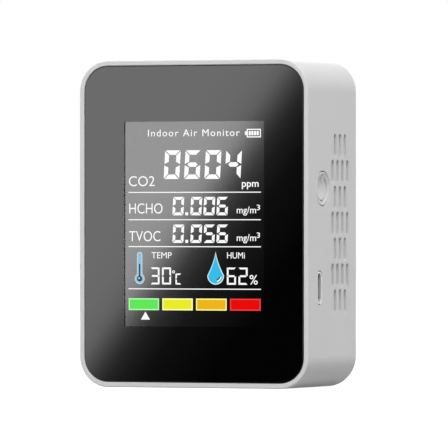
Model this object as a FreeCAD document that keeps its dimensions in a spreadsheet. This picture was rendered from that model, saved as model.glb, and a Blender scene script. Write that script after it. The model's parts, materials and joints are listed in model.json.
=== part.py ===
"""Desktop air quality monitor: a white moulded case with a glossy dark front lens over a 2.8 inch display,
a round push button, a USB-C socket and ventilation slots in its side, and the electronics inside.

Frame: millimetres, +Z up, the front looks along -Y, +X is the side with the button and the socket.
The origin is the centre of the base. Every size comes from the sheet "Dimensions".
"""

import FreeCAD
import Part
import Sketcher
import math
import os

from FreeCAD import Placement, Rotation, Vector

doc = FreeCAD.newDocument("AirMonitor")
sheet = doc.addObject("Spreadsheet::Sheet", "Dimensions")

DIMENSIONS = {
    # the case
    "case_width": 70.0,
    "case_height": 92.0,
    "case_depth": 35.5,
    "case_corner": 8.7,
    "case_wall": 2.0,
    "front_edge_round": 0.35,
    "rear_edge_round": 0.6,
    # the front lens and what holds it
    "rim_width": 1.37,
    "rim_chamfer": 0.15,
    "lens_thickness": 1.0,
    "lens_sunk": 0.05,
    "lens_gap": 0.1,
    "lens_bevel": 0.2,
    "ink_thickness": 0.1,
    "tape_thickness": 0.15,
    "tape_inset": 0.5,
    "ledge_thickness": 1.4,
    # the display
    "window_width": 43.2,
    "window_height": 57.6,
    "glass_width": 48.6,
    "glass_height": 66.8,
    "glass_thickness": 1.3,
    "glass_gap": 0.2,
    "module_width": 50.0,
    "module_height": 69.2,
    "module_thickness": 2.0,
    "module_wall": 1.2,
    "ledge_hole_gap": 0.7,
    "foam_thickness": 0.5,
    "foam_width": 3.0,
    "flex_width": 22.0,
    "flex_thickness": 0.15,
    "flex_socket_length": 25.0,
    "flex_socket_depth": 4.0,
    "flex_socket_height": 1.2,
    # the main circuit board
    "board_width": 62.4,
    "board_height": 72.0,
    "board_thickness": 1.6,
    "board_corner": 1.5,
    "board_hole": 2.2,
    "board_screw_x": 28.5,
    "board_screw_z": 33.5,
    "standoff_diameter": 5.0,
    "standoff_pilot": 1.7,
    "standoff_pilot_depth": 3.0,
    "board_screw_shank": 1.6,
    "board_screw_length": 4.2,
    "board_screw_head": 3.4,
    "board_screw_head_height": 1.2,
    # the rear cover and its screws
    "cover_thickness": 2.2,
    "cover_sunk": 0.1,
    "cover_gap": 0.2,
    "cover_lip": 1.3,
    "cover_round": 0.3,
    "cover_screw_x": 29.0,
    "cover_screw_z": 40.0,
    "boss_diameter": 6.0,
    "boss_pilot": 2.3,
    "boss_pilot_depth": 9.0,
    "cover_hole": 2.7,
    "cover_counterbore": 5.0,
    "cover_counterbore_depth": 1.35,
    "cover_screw_shank": 2.2,
    "cover_screw_length": 8.0,
    "cover_screw_head": 4.4,
    "cover_screw_head_height": 1.2,
    "cross_width": 0.5,
    "cross_depth": 0.7,
    "cross_share": 0.62,
    "plate_recess_width": 38.0,
    "plate_recess_height": 22.0,
    "plate_recess_depth": 0.3,
    "plate_recess_drop": 20.0,
    # the ventilation slots
    "slot_width": 1.9,
    "slot_length": 6.65,
    "slot_pitch": 3.6,
    "slot_row_pitch": 7.28,
    "slot_middle_y": 5.45,
    "slot_middle_z": 46.2,
    "rear_slot_top": 26.0,
    # the push button and its switch
    "button_y": -7.05,
    "button_z": 55.9,
    "button_diameter": 9.5,
    "button_hole": 10.0,
    "button_dish": 1.0,
    "button_edge_round": 0.2,
    "button_flange": 11.6,
    "button_flange_thickness": 1.0,
    "button_stop_gap": 0.1,
    "button_stem": 3.4,
    "button_stem_length": 1.5,
    "button_play": 0.1,
    "symbol_diameter": 7.4,
    "symbol_line": 0.6,
    "symbol_floor": 1.2,
    "symbol_gap": 3.6,
    "symbol_bar": 2.6,
    "symbol_bar_lift": 2.7,
    "switch_width": 6.2,
    "switch_length": 3.8,
    "switch_height": 7.4,
    "plunger_diameter": 3.2,
    "plunger_reach": 2.0,
    "plunger_inside": 1.2,
    "plunger_clearance": 0.1,
    # the USB-C socket
    "usb_y": -9.4,
    "usb_z": 28.2,
    "usb_width": 8.94,
    "usb_height": 3.16,
    "usb_length": 7.35,
    "usb_wall": 0.3,
    "usb_sunk": 0.15,
    "usb_floor": 1.2,
    "usb_hole_width": 9.7,
    "usb_hole_height": 3.7,
    "side_hole_chamfer": 0.12,
    "tongue_width": 6.69,
    "tongue_height": 0.7,
    "tongue_length": 4.45,
    "contact_length": 3.5,
    "contact_width": 0.25,
    "contact_pitch": 0.5,
    "contact_proud": 0.05,
    # the battery
    "battery_width": 34.0,
    "battery_height": 50.0,
    "battery_thickness": 7.5,
    "battery_x": -6.0,
    "battery_z": 38.0,
    "battery_round": 1.8,
    "battery_fold": 4.0,
    "battery_fold_inset": 2.0,
    "battery_fold_thickness": 2.5,
    "pad_thickness": 0.6,
    "pad_inset": 3.5,
    "lead_diameter": 1.2,
    "lead_pitch": 2.0,
    "lead_x": 7.0,
    "lead_top": 79.0,
    # the carbon dioxide sensor
    "co2_x": -13.5,
    "co2_z": 68.5,
    "co2_board_width": 33.0,
    "co2_board_height": 20.0,
    "co2_board_thickness": 1.0,
    "co2_lift": 2.5,
    "co2_chamber_width": 26.0,
    "co2_chamber_height": 17.0,
    "co2_chamber_thickness": 7.0,
    "co2_vent": 5.0,
    "co2_vent_depth": 1.0,
    "co2_filter_thickness": 0.5,
    "header_pin": 0.64,
    "header_pitch": 2.54,
    # the other parts on the board
    "gas_x": 19.0,
    "gas_z": 18.5,
    "gas_diameter": 9.2,
    "gas_height": 6.0,
    "gas_base_height": 1.0,
    "gas_screen": 5.4,
    "gas_wall": 0.5,
    "climate_x": 26.5,
    "climate_z": 41.0,
    "climate_size": 5.0,
    "climate_height": 1.6,
    "climate_port": 2.0,
    "buzzer_x": -20.0,
    "buzzer_z": 22.0,
    "buzzer_diameter": 9.6,
    "buzzer_height": 4.8,
    "buzzer_hole": 2.4,
    "chip_x": -4.0,
    "chip_z": 40.0,
    "chip_size": 10.0,
    "chip_height": 1.4,
    "chip_lead_pitch": 0.8,
    "chip_lead_width": 0.35,
    "chip_lead_thickness": 0.15,
    "chip_lead_reach": 1.0,
    "chip_lift": 0.1,
    "capacitor_width": 2.0,
    "capacitor_height": 1.25,
    "capacitor_thickness": 0.9,
    "capacitor_pitch": 3.0,
    "capacitor_offset": 12.0,
    "coil_x": 18.0,
    "coil_z": 36.0,
    "coil_size": 5.0,
    "coil_thickness": 3.0,
    "charger_width": 4.0,
    "charger_height": 5.0,
    "charger_thickness": 1.5,
    "crystal_width": 3.2,
    "crystal_height": 2.5,
    "crystal_thickness": 0.8,
    "socket_x": 16.0,
    "socket_z": 67.5,
    "socket_width": 6.0,
    "socket_length": 7.0,
    "socket_height": 5.0,
    "socket_wall": 0.6,
}


class Size:
    """A number together with the sheet expression that it comes from."""

    def __init__(self, value, text):
        self.value = float(value)
        self.text = text

    def __float__(self):
        return self.value

    def __neg__(self):
        return Size(-self.value, f"(-{self.text})")

    def __add__(self, other):
        return Size(self.value + float(other), f"({self.text} + {text_of(other)})")

    def __sub__(self, other):
        return Size(self.value - float(other), f"({self.text} - {text_of(other)})")

    def __mul__(self, other):
        return Size(self.value * float(other), f"({self.text} * {text_of(other)})")

    def __truediv__(self, other):
        return Size(self.value / float(other), f"({self.text} / {text_of(other)})")

    __radd__ = __add__
    __rmul__ = __mul__

    def __rsub__(self, other):
        return Size(float(other) - self.value, f"({text_of(other)} - {self.text})")


def text_of(size):
    return size.text if isinstance(size, Size) else repr(float(size))


def size(alias):
    """The named cell of the sheet, as a Size."""
    return Size(DIMENSIONS[alias], f"Dimensions.{alias}")


def fill_sheet():
    """Writes every dimension to a row of its own: its name in words, then the value under its alias."""
    for row, (alias, value) in enumerate(DIMENSIONS.items(), 1):
        sheet.set(f"A{row}", alias.replace("_", " "))
        sheet.set(f"B{row}", str(value))
        sheet.setAlias(f"B{row}", alias)
    doc.recompute()


def bind(thing, name, value):
    """Ties one property to the sheet."""
    thing.setExpression(name, text_of(value))


fill_sheet()

# ---- places that several pieces share ----
half_width = size("case_width") / 2
half_depth = size("case_depth") / 2
middle = size("case_height") / 2
lens_front = size("lens_sunk") - half_depth
ink_front = lens_front + size("lens_thickness")
tape_front = ink_front + size("ink_thickness")
ledge_front = tape_front + size("tape_thickness")
ledge_rear = ledge_front + size("ledge_thickness")
glass_front = tape_front + size("glass_gap")
module_front = glass_front + size("glass_thickness")
module_rear = module_front + size("module_thickness")
board_front = module_rear + size("foam_thickness")
board_rear = board_front + size("board_thickness")
cover_rear = half_depth - size("cover_sunk")
cover_front = cover_rear - size("cover_thickness")
wall_inside = half_width - size("case_wall")
pocket_width = size("case_width") - 2 * size("rim_width")
pocket_height = size("case_height") - 2 * size("rim_width")
pocket_corner = size("case_corner") - size("rim_width")
rebate_width = size("case_width") - 2 * size("cover_lip")
rebate_height = size("case_height") - 2 * size("cover_lip")
rebate_corner = size("case_corner") - size("cover_lip")
button_back = wall_inside - size("button_stop_gap") - size("button_flange_thickness")
switch_face = button_back - size("button_stem_length") - size("button_play") - size("plunger_reach")

subparts = []


def keep(thing, label):
    """Marks an object as one sub-part of the product, under the name that its file gets."""
    thing.Label = label
    subparts.append(thing)
    return thing


# ---- PartDesign helpers ----
# two places this close are the same place
TOLERANCE = 1e-4
PLANE_AXES = {"XY_Plane": (0, 1, 2), "XZ_Plane": (0, 2, 1), "YZ_Plane": (1, 2, 0)}


def new_body(label):
    return keep(doc.addObject("PartDesign::Body", "Body"), label)


def sketch_at(body, plane, x=0, y=0, z=0):
    """A sketch on one of the body's own planes, with its origin moved to a point of the model's frame."""
    sketch = body.newObject("Sketcher::SketchObject", "Sketch")
    feature = next(f for f in body.Origin.OriginFeatures if f.Role == plane)
    sketch.AttachmentSupport = [(feature, "")]
    sketch.MapMode = "FlatFace"
    point = (x, y, z)
    for name, axis in zip("xyz", PLANE_AXES[plane]):
        value = point[axis]
        if plane == "XZ_Plane" and name == "z":
            value = -value
        bind(sketch, f"AttachmentOffset.Base.{name}", value)
    return sketch


def drive(sketch, constraint, name, value):
    """Adds a dimension to a sketch and ties it to the sheet."""
    index = sketch.addConstraint(constraint)
    sketch.renameConstraint(index, name)
    bind(sketch, f"Constraints.{name}", value)


def add_round_loop(sketch, corners, radius):
    """Adds a closed outline: an equal arc about each corner, joined to the next by a tangent line."""
    r = float(radius)
    count = len(corners)
    sweep = 2 * math.pi / count
    first = sketch.GeometryCount
    for k, (x, y) in enumerate(corners):
        start = k * sweep
        circle = Part.Circle(Vector(x, y, 0), Vector(0, 0, 1), r)
        sketch.addGeometry(Part.ArcOfCircle(circle, start, start + sweep))
        x2, y2 = corners[(k + 1) % count]
        out = Vector(math.cos(start + sweep), math.sin(start + sweep), 0) * r
        sketch.addGeometry(Part.LineSegment(Vector(x, y, 0) + out, Vector(x2, y2, 0) + out))
    total = 2 * count
    for k in range(0, total, 2):
        arc, line, next_arc = first + k, first + k + 1, first + (k + 2) % total
        sketch.addConstraint(Sketcher.Constraint("Tangent", arc, 2, line, 1))
        sketch.addConstraint(Sketcher.Constraint("Tangent", line, 2, next_arc, 1))
        if k:
            sketch.addConstraint(Sketcher.Constraint("Equal", first, arc))
    return first


def rounded_rectangle(sketch, width, height, radius):
    """A rectangle with round corners, centred on the sketch's origin."""
    x, y = float(width) / 2 - float(radius), float(height) / 2 - float(radius)
    first = add_round_loop(sketch, [(x, y), (-x, y), (-x, -y), (x, -y)], radius)
    top, left, bottom, right = first + 1, first + 3, first + 5, first + 7
    for line in (top, bottom):
        sketch.addConstraint(Sketcher.Constraint("Horizontal", line))
    for line in (left, right):
        sketch.addConstraint(Sketcher.Constraint("Vertical", line))
    sketch.addConstraint(Sketcher.Constraint("Symmetric", first, 3, first + 4, 3, -1, 1))
    drive(sketch, Sketcher.Constraint("Radius", first, float(radius)), "radius", radius)
    across = Sketcher.Constraint("DistanceX", left, 1, right, 1, float(width))
    drive(sketch, across, "width", width)
    upward = Sketcher.Constraint("DistanceY", bottom, 1, top, 1, float(height))
    drive(sketch, upward, "height", height)


def upright_slot(sketch, width, length):
    """A slot with round ends along the sketch's second axis, centred on its origin."""
    y = (float(length) - float(width)) / 2
    r = float(width) / 2
    for sign, start in ((1, 0), (-1, math.pi)):
        circle = Part.Circle(Vector(0, sign * y, 0), Vector(0, 0, 1), r)
        sketch.addGeometry(Part.ArcOfCircle(circle, start, start + math.pi))
    sketch.addGeometry(Part.LineSegment(Vector(-r, y, 0), Vector(-r, -y, 0)))
    sketch.addGeometry(Part.LineSegment(Vector(r, -y, 0), Vector(r, y, 0)))
    top, bottom, left, right = range(4)
    round_trip = (top, left, bottom, right, top)
    for line, next_line in zip(round_trip, round_trip[1:]):
        sketch.addConstraint(Sketcher.Constraint("Tangent", line, 2, next_line, 1))
    sketch.addConstraint(Sketcher.Constraint("Equal", top, bottom))
    sketch.addConstraint(Sketcher.Constraint("Vertical", left))
    sketch.addConstraint(Sketcher.Constraint("Symmetric", top, 3, bottom, 3, -1, 1))
    drive(sketch, Sketcher.Constraint("Radius", top, r), "radius", width / 2)
    between = Sketcher.Constraint("DistanceY", bottom, 3, top, 3, 2 * y)
    drive(sketch, between, "reach", length - width)


def circle_in(sketch, diameter):
    """A circle about the sketch's origin."""
    index = sketch.addGeometry(Part.Circle(Vector(0, 0, 0), Vector(0, 0, 1), float(diameter) / 2))
    sketch.addConstraint(Sketcher.Constraint("Coincident", index, 3, -1, 1))
    drive(sketch, Sketcher.Constraint("Diameter", index, float(diameter)), "diameter", diameter)


def pad(body, sketch, length, reversed_=False):
    """Adds a sketch to the body, raised by a length."""
    feature = body.newObject("PartDesign::Pad", "Pad")
    feature.Profile = sketch
    feature.Reversed = reversed_
    bind(feature, "Length", length)
    body.Tip = feature
    doc.recompute()
    return feature


def pocket(body, sketch, depth=None, reversed_=False):
    """Cuts a sketch into the body, by a depth or, with none, right through."""
    before = body.Shape.Volume
    feature = body.newObject("PartDesign::Pocket", "Pocket")
    feature.Profile = sketch
    feature.Reversed = reversed_
    if depth is None:
        feature.Type = "ThroughAll"
    else:
        bind(feature, "Length", depth)
    body.Tip = feature
    doc.recompute()
    if body.Shape.Volume >= before:
        raise RuntimeError(f"a pocket of {body.Label} cuts nothing")
    return feature


def pattern(body, original, sketch, steps):
    """Repeats a feature in rows along a sketch's axes. Each step is an axis, a count and a pitch."""
    feature = body.newObject("PartDesign::LinearPattern", "LinearPattern")
    feature.Originals = [original]
    for suffix, (axis, count, pitch) in zip(("", "2"), steps):
        setattr(feature, "Direction" + suffix, (sketch, [axis]))
        setattr(feature, "Mode" + suffix, "Extent")
        setattr(feature, "Occurrences" + suffix, count)
        bind(feature, "Length" + suffix, pitch * (count - 1))
    body.Tip = feature
    doc.recompute()


def dress(body, kind, wanted, name, value):
    """Rounds or bevels the edges of the body that a test picks out."""
    base = body.Tip
    edges = [f"Edge{i}" for i, edge in enumerate(base.Shape.Edges, 1) if wanted(edge)]
    feature = body.newObject(kind, kind.split("::")[1])
    feature.Base = (base, edges)
    bind(feature, name, value)
    body.Tip = feature
    doc.recompute()


def fillet(body, wanted, radius):
    dress(body, "PartDesign::Fillet", wanted, "Radius", radius)


def chamfer(body, wanted, width):
    dress(body, "PartDesign::Chamfer", wanted, "Size", width)


def on_plane(axis, value):
    """A test for edges that lie in a plane square to one axis."""
    spans = {"x": ("XMin", "XMax"), "y": ("YMin", "YMax"), "z": ("ZMin", "ZMax")}[axis]

    def test(edge):
        return all(abs(getattr(edge.BoundBox, side) - float(value)) < TOLERANCE for side in spans)

    return test


def circle_on_plane(axis, value, radius):
    """A test for round edges of one radius in a plane square to one axis."""
    in_plane = on_plane(axis, value)

    def test(edge):
        if not in_plane(edge) or not isinstance(edge.Curve, Part.Circle):
            return False
        return abs(edge.Curve.Radius - float(radius)) < TOLERANCE

    return test


def plate(label, width, height, corner, front, thickness):
    """A flat piece with round corners, parallel to the front of the case and centred on it."""
    body = new_body(label)
    sketch = sketch_at(body, "XZ_Plane", 0, front, middle)
    rounded_rectangle(sketch, width, height, corner)
    pad(body, sketch, thickness, reversed_=True)
    return body


def cut_window(body, front, width, height, corner):
    """Cuts a window with round corners right through a plate, at its middle."""
    sketch = sketch_at(body, "XZ_Plane", 0, front, middle)
    rounded_rectangle(sketch, width, height, corner)
    pocket(body, sketch)


# ---- Part helpers ----
TURN_TO = {
    "x": Rotation(Vector(0, 1, 0), 90),
    "y": Rotation(Vector(1, 0, 0), -90),
}


def place(thing, x, y, z, rotation=None):
    thing.Placement = Placement(Vector(), rotation or Rotation())
    for name, value in zip("xyz", (x, y, z)):
        bind(thing, f"Placement.Base.{name}", value)
    return thing


def block(x, y, z, width, depth, height):
    """A box by its middle in X and Z, its front face in Y, and its sizes along X, Y and Z."""
    box = doc.addObject("Part::Box", "Box")
    bind(box, "Length", width)
    bind(box, "Width", depth)
    bind(box, "Height", height)
    return place(box, x - width / 2, y, z - height / 2)


def rod(x, y, z, diameter, length, axis):
    """A cylinder that starts at a point and runs along an axis."""
    cylinder = doc.addObject("Part::Cylinder", "Cylinder")
    bind(cylinder, "Radius", diameter / 2)
    bind(cylinder, "Height", length)
    return place(cylinder, x, y, z, TURN_TO[axis])


def cut(base, tool):
    feature = doc.addObject("Part::Cut", "Cut")
    feature.Base = base
    feature.Tool = tool
    return feature


def fuse(*things):
    feature = doc.addObject("Part::MultiFuse", "Fuse")
    feature.Shapes = list(things)
    return feature


def group(*things):
    """Several separate solids that make one sub-part."""
    feature = doc.addObject("Part::Compound", "Group")
    feature.Links = list(things)
    return feature


# ---- the case ----
def side_slots(body):
    """Seven rows of upright slots, three and four by turns, cut through the right-hand wall."""
    rows = ((4, 3), (3, 4))
    for row_count, column_count in rows:
        y = size("slot_middle_y") - size("slot_pitch") * (column_count - 1) / 2
        z = size("slot_middle_z") - size("slot_row_pitch") * (row_count - 1)
        sketch = sketch_at(body, "YZ_Plane", half_width, y, z)
        upright_slot(sketch, size("slot_width"), size("slot_length"))
        first = pocket(body, sketch, size("case_wall"))
        along = ("H_Axis", column_count, size("slot_pitch"))
        upward = ("V_Axis", row_count, size("slot_row_pitch") * 2)
        pattern(body, first, sketch, [along, upward])


def posts(body, start, end, diameter, x, z):
    """Four round posts along Y, placed symmetrically about the middle of the case."""
    sketch = sketch_at(body, "XZ_Plane", -x, start, middle - z)
    circle_in(sketch, diameter)
    first = pad(body, sketch, end - start, reversed_=True)
    pattern(body, first, sketch, [("H_Axis", 2, x * 2), ("V_Axis", 2, z * 2)])


def post_holes(body, mouth, diameter, depth, x, z):
    """A blind hole along each of the four posts, from its rear end."""
    sketch = sketch_at(body, "XZ_Plane", -x, mouth, middle - z)
    circle_in(sketch, diameter)
    first = pocket(body, sketch, depth, reversed_=True)
    pattern(body, first, sketch, [("H_Axis", 2, x * 2), ("V_Axis", 2, z * 2)])


def main_housing():
    """The shell: a seat for the lens, a ledge behind it, a deep cavity and a seat for the rear cover."""
    width, height, depth = size("case_width"), size("case_height"), size("case_depth")
    body = plate("main_housing", width, height, size("case_corner"), -half_depth, depth)
    fillet(body, on_plane("y", -half_depth), size("front_edge_round"))
    fillet(body, on_plane("y", half_depth), size("rear_edge_round"))
    # the seat of the front lens, then the main cavity and the seat of the rear cover
    seat = sketch_at(body, "XZ_Plane", 0, -half_depth, middle)
    rounded_rectangle(seat, pocket_width, pocket_height, pocket_corner)
    pocket(body, seat, ledge_front + half_depth)
    cavity = sketch_at(body, "XZ_Plane", 0, half_depth, middle)
    wall = size("case_wall")
    rounded_rectangle(cavity, width - 2 * wall, height - 2 * wall, size("case_corner") - wall)
    pocket(body, cavity, half_depth - ledge_rear, reversed_=True)
    rebate = sketch_at(body, "XZ_Plane", 0, half_depth, middle)
    rounded_rectangle(rebate, rebate_width, rebate_height, rebate_corner)
    pocket(body, rebate, half_depth - cover_front, reversed_=True)
    hole_gap = 2 * size("ledge_hole_gap")
    module_width = size("module_width") + hole_gap
    module_height = size("module_height") + hole_gap
    opening = sketch_at(body, "XZ_Plane", 0, -half_depth, middle)
    rounded_rectangle(opening, module_width, module_height, size("board_corner"))
    pocket(body, opening, ledge_rear + half_depth)
    chamfer(body, seat_edges, size("rim_chamfer"))
    side_slots(body)
    button_hole = sketch_at(body, "YZ_Plane", half_width, size("button_y"), size("button_z"))
    circle_in(button_hole, size("button_hole"))
    pocket(body, button_hole, size("case_wall"))
    usb_hole = sketch_at(body, "YZ_Plane", half_width, size("usb_y"), size("usb_z"))
    upright_slot(usb_hole, size("usb_hole_height"), size("usb_hole_width"))
    pocket(body, usb_hole, size("case_wall"))
    chamfer(body, side_hole_edges, size("side_hole_chamfer"))
    # posts for the rear cover's screws and for the board's screws
    posts(body, ledge_rear, cover_front, size("boss_diameter"), size("cover_screw_x"), size("cover_screw_z"))
    cover_screws = (size("cover_screw_x"), size("cover_screw_z"))
    post_holes(body, cover_front, size("boss_pilot"), size("boss_pilot_depth"), *cover_screws)
    board_screws = (size("board_screw_x"), size("board_screw_z"))
    posts(body, ledge_rear, board_front, size("standoff_diameter"), *board_screws)
    post_holes(body, board_front, size("standoff_pilot"), size("standoff_pilot_depth"), *board_screws)


def seat_edges(edge):
    """The edges round the mouth of the lens seat, inside the flat of the front rim."""
    box = edge.BoundBox
    reach = float(pocket_width) / 2 + TOLERANCE
    top = float(middle) + float(pocket_height) / 2 + TOLERANCE
    inside = max(abs(box.XMin), abs(box.XMax)) < reach and box.ZMax < top
    return inside and on_plane("y", -half_depth)(edge)


def side_hole_edges(edge):
    """The outer edges of the button hole and the socket hole, on the flat of the right-hand wall."""
    if not on_plane("x", half_width)(edge):
        return False
    centre = edge.BoundBox.Center
    holes = (
        (size("button_y"), size("button_z"), size("button_hole") / 2, size("button_hole") / 2),
        (size("usb_y"), size("usb_z"), size("usb_hole_height") / 2, size("usb_hole_width") / 2),
    )
    for y, z, half_y, half_z in holes:
        near_y = abs(centre.y - float(y)) < float(half_y) + TOLERANCE
        near_z = abs(centre.z - float(z)) < float(half_z) + TOLERANCE
        if near_y and near_z:
            return True
    return False


def back_cover():
    """The inset rear cover: four sunk screw holes, three rows of slots and a shallow blank label field."""
    gap = size("cover_gap") * 2
    width, height, corner = rebate_width - gap, rebate_height - gap, rebate_corner - gap / 2
    body = plate("back_cover", width, height, corner, cover_front, size("cover_thickness"))
    fillet(body, on_plane("y", cover_rear), size("cover_round"))
    x, z = size("cover_screw_x"), size("cover_screw_z")
    for diameter, depth in (
        (size("cover_counterbore"), size("cover_counterbore_depth")),
        (size("cover_hole"), size("cover_thickness")),
    ):
        sketch = sketch_at(body, "XZ_Plane", -x, cover_rear, middle - z)
        circle_in(sketch, diameter)
        first = pocket(body, sketch, depth, reversed_=True)
        pattern(body, first, sketch, [("H_Axis", 2, x * 2), ("V_Axis", 2, z * 2)])
    recess = sketch_at(body, "XZ_Plane", 0, cover_rear, middle - size("plate_recess_drop"))
    rounded_rectangle(recess, size("plate_recess_width"), size("plate_recess_height"), size("board_corner"))
    pocket(body, recess, size("plate_recess_depth"), reversed_=True)
    for row, columns in ((0, 9), (1, 8), (2, 9)):
        x = -size("slot_pitch") * (columns - 1) / 2
        z = middle + size("rear_slot_top") - size("slot_row_pitch") * row
        sketch = sketch_at(body, "XZ_Plane", x, cover_rear, z)
        upright_slot(sketch, size("slot_width"), size("slot_length"))
        first = pocket(body, sketch, size("cover_thickness"), reversed_=True)
        pattern(body, first, sketch, [("H_Axis", columns, size("slot_pitch"))])


def screw(x, seat, z, shank, length, head, head_height):
    """A pan-head screw along Y whose head sits on a face at seat, with a cross recess."""
    body = rod(x, seat - length, z, shank, length, "y")
    top = rod(x, seat, z, head, head_height, "y")
    slot_y = seat + head_height - size("cross_depth")
    long, narrow = head * size("cross_share"), size("cross_width")
    cross = fuse(
        block(x, slot_y, z, long, size("cross_depth") * 2, narrow),
        block(x, slot_y, z, narrow, size("cross_depth") * 2, long),
    )
    return cut(fuse(body, top), cross)


def four_screws(label, seat, shank, length, head, head_height, x, z):
    """Four equal screws, placed symmetrically about the middle of the case."""
    corners = [(sx, sz) for sx in (-1, 1) for sz in (-1, 1)]
    made = [screw(x * sx, seat, middle + z * sz, shank, length, head, head_height) for sx, sz in corners]
    keep(group(*made), label)


def screws():
    """The rear cover's four screws and the board's four."""
    four_screws(
        "back_cover_screws",
        cover_rear - size("cover_counterbore_depth"),
        size("cover_screw_shank"),
        size("cover_screw_length"),
        size("cover_screw_head"),
        size("cover_screw_head_height"),
        size("cover_screw_x"),
        size("cover_screw_z"),
    )
    four_screws(
        "board_screws",
        board_rear,
        size("board_screw_shank"),
        size("board_screw_length"),
        size("board_screw_head"),
        size("board_screw_head_height"),
        size("board_screw_x"),
        size("board_screw_z"),
    )


# ---- the front lens and the display ----
def front_lens():
    """The clear sheet that covers the whole front inside the rim."""
    gap = 2 * size("lens_gap")
    width, height, corner = pocket_width - gap, pocket_height - gap, pocket_corner - gap / 2
    body = plate("front_lens", width, height, corner, lens_front, size("lens_thickness"))
    chamfer(body, on_plane("y", lens_front), size("lens_bevel"))


def lens_ink():
    """The opaque print on the back of the lens, clear over the display."""
    inset = 4 * size("lens_gap")
    width, height, corner = pocket_width - inset, pocket_height - inset, pocket_corner - inset / 2
    body = plate("lens_ink", width, height, corner, ink_front, size("ink_thickness"))
    cut_window(body, ink_front, size("window_width"), size("window_height"), size("ink_thickness"))


def lens_tape():
    """The adhesive frame that holds the lens to the ledge."""
    inset = 2 * size("tape_inset")
    width, height, corner = pocket_width - inset, pocket_height - inset, pocket_corner - inset / 2
    body = plate("lens_tape", width, height, corner, tape_front, size("tape_thickness"))
    gap = 2 * size("ledge_hole_gap") + inset
    window_width, window_height = size("module_width") + gap, size("module_height") + gap
    cut_window(body, tape_front, window_width, window_height, size("board_corner"))


def display():
    """The display's glass, the frame and the light guide behind it, and the foam frame on its back."""
    corner = size("ledge_hole_gap")
    glass_width, glass_height = size("glass_width"), size("glass_height")
    module_width, module_height = size("module_width"), size("module_height")
    module_thickness = size("module_thickness")
    plate("lcd_glass", glass_width, glass_height, corner, glass_front, size("glass_thickness"))
    frame = plate("lcd_frame", module_width, module_height, corner, module_front, module_thickness)
    wall = 2 * size("module_wall")
    inner_width, inner_height = module_width - wall, module_height - wall
    cut_window(frame, module_front, inner_width, inner_height, corner)
    guide_gap = 2 * size("lens_gap")
    guide_width, guide_height = inner_width - guide_gap, inner_height - guide_gap
    plate("lcd_backlight", guide_width, guide_height, corner, module_front, module_thickness)
    foam = plate("lcd_foam_tape", glass_width, glass_height, corner, module_rear, size("foam_thickness"))
    foam_wall = 2 * size("foam_width")
    cut_window(foam, module_rear, glass_width - foam_wall, glass_height - foam_wall, corner)


def lcd_flex():
    """The display's flexible circuit, which bends round under the board's lower edge, and its socket."""
    thin, wide = size("flex_thickness"), size("flex_width")
    board_bottom = middle - size("board_height") / 2
    front_y = ledge_rear + size("lens_gap")
    rear_y = board_rear + size("flex_socket_height") / 2
    bend_y = (front_y + rear_y + thin) / 2
    bend_z = board_bottom - size("foam_thickness")
    outer = rear_y + thin - front_y
    downward_half = Rotation(Vector(1, 0, 0), -90) * TURN_TO["x"]
    halves = []
    for diameter in (outer, outer - thin * 2):
        half = rod(-wide / 2, bend_y, bend_z, diameter, wide, "x")
        half.Angle = 180
        place(half, -wide / 2, bend_y, bend_z, downward_half)
        halves.append(half)
    front_height = middle - size("module_height") / 2 - bend_z
    rear_height = board_bottom + size("flex_socket_depth") / 2 - bend_z
    front_leg = block(0, front_y, bend_z + front_height / 2, wide, thin, front_height)
    rear_leg = block(0, rear_y, bend_z + rear_height / 2, wide, thin, rear_height)
    keep(fuse(cut(*halves), front_leg, rear_leg), "lcd_flex")
    length, height, depth = size("flex_socket_length"), size("flex_socket_height"), size("flex_socket_depth")
    socket_z = board_bottom + depth
    body = block(0, board_rear, socket_z, length, height, depth)
    slit = block(0, rear_y - thin, socket_z - depth / 2, wide + thin * 2, thin * 3, depth)
    keep(cut(body, slit), "lcd_flex_socket")


# ---- the main board ----
# leads on each side of the controller
CHIP_LEADS = 11


def main_board():
    """The main circuit board, with a hole at each corner for its screw."""
    width, height, corner = size("board_width"), size("board_height"), size("board_corner")
    body = plate("main_board", width, height, corner, board_front, size("board_thickness"))
    x, z = size("board_screw_x"), size("board_screw_z")
    sketch = sketch_at(body, "XZ_Plane", -x, board_rear, middle - z)
    circle_in(sketch, size("board_hole"))
    first = pocket(body, sketch, size("board_thickness"), reversed_=True)
    pattern(body, first, sketch, [("H_Axis", 2, x * 2), ("V_Axis", 2, z * 2)])


def controller_chip():
    """A square flat package with eleven leads on each of its four sides."""
    x, z, side = size("chip_x"), size("chip_z"), size("chip_size")
    keep(block(x, board_rear + size("chip_lift"), z, side, size("chip_height"), side), "controller_chip")
    reach, width, thickness = size("chip_lead_reach"), size("chip_lead_width"), size("chip_lead_thickness")
    leads = []
    for k in range(CHIP_LEADS):
        along = size("chip_lead_pitch") * (k - (CHIP_LEADS - 1) / 2)
        for sign in (-1, 1):
            out = (side + reach) / 2 * sign
            leads.append(block(x + along, board_rear, z + out, width, thickness, reach))
            leads.append(block(x + out, board_rear, z + along, reach, thickness, width))
    keep(group(*leads), "chip_leads")


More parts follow.
